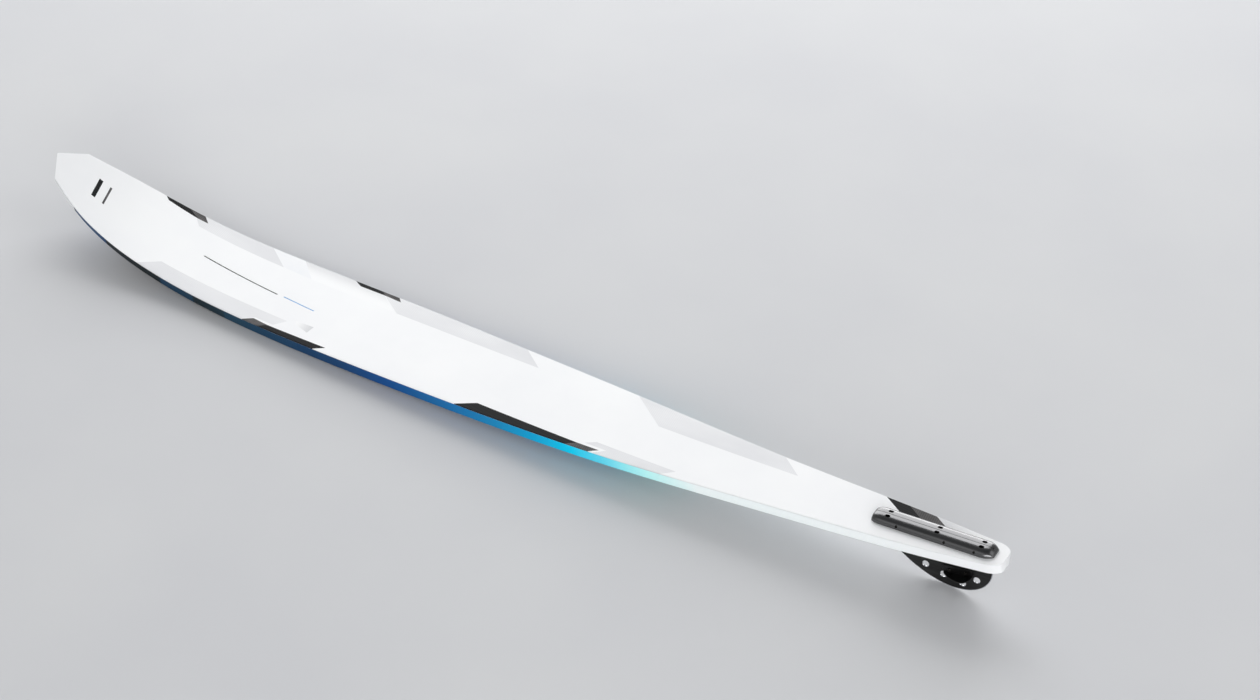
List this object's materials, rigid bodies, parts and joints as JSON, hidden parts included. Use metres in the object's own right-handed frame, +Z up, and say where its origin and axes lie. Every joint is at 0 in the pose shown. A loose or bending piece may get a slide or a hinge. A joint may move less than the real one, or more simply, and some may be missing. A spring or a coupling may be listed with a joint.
{
  "type": "slalom water ski",
  "caption": "Moulded slalom water ski with a rockered deck and tunnel base, an adjustable clamp block, a deep fin and a hinged fin wing.",
  "frame": {"origin": "centre of the ski's footprint on the ground it rests on, with its fin and its belly touching the ground", "axes": "+X towards the tip, +Y to the left of a rider who faces the tip, +Z up through the deck"},
  "size_m": [1.6544, 0.1734, 0.1119],
  "materials": {
    "deck_skin": "clear coated white top sheet with grey facets",
    "base_skin": "gloss base sheet fading from slate through blue to white",
    "foam_core": "moulded closed-cell foam",
    "brass_insert": "turned brass",
    "anodised_block": "black anodised, polished",
    "anodised_fin": "dark grey anodised, satin",
    "anodised_wing": "dark anodised, satin",
    "steel_screw": "black oxide"
  },
  "bodies": {
    "ski": {"deck_skin": "deck_skin", "base_skin": "base_skin", "foam_core": "foam_core", "front_binding_insert_1": "brass_insert", "front_binding_insert_2": "brass_insert", "front_binding_insert_3": "brass_insert", "front_binding_insert_4": "brass_insert", "rear_binding_insert_1": "brass_insert", "rear_binding_insert_2": "brass_insert", "rear_binding_insert_3": "brass_insert", "rear_binding_insert_4": "brass_insert", "block_insert_1": "brass_insert", "block_insert_2": "brass_insert", "block_insert_3": "brass_insert", "block_insert_4": "brass_insert", "block_insert_5": "brass_insert", "block_insert_6": "brass_insert", "block_screw_1": "steel_screw", "block_screw_2": "steel_screw", "block_screw_3": "steel_screw", "block_screw_4": "steel_screw", "block_screw_5": "steel_screw", "block_screw_6": "steel_screw"},
    "fin_block": {"fin_clamp_left": "anodised_block", "fin_clamp_right": "anodised_block", "clamp_screw_1": "steel_screw", "clamp_screw_2": "steel_screw", "clamp_screw_3": "steel_screw"},
    "fin": {"fin_blade": "anodised_fin"},
    "wing": {"wing_left": "anodised_wing", "wing_right": "anodised_wing", "wing_pivot_screw": "steel_screw", "wing_slot_screw": "steel_screw", "wing_pivot_nut": "steel_screw", "wing_slot_nut": "steel_screw"}
  },
  "joints": [
    {"name": "block_fore_aft_slide", "type": "slide", "parent": "ski", "child": "fin_block", "axis": [0.9948, 0, -0.1014], "range_m": [-0.0012, 0.0012]},
    {"name": "fin_depth_slide", "type": "slide", "parent": "fin_block", "child": "fin", "axis": [0.1014, 0, 0.9948], "range_m": [-0.0015, 0.0015]},
    {"name": "wing_angle_hinge", "type": "hinge", "parent": "fin", "child": "wing", "pos_m": [-0.74924, 0, 0.02968], "axis": [0, 1, 0], "range_deg": [-7.5, 4.5]}
  ]
}
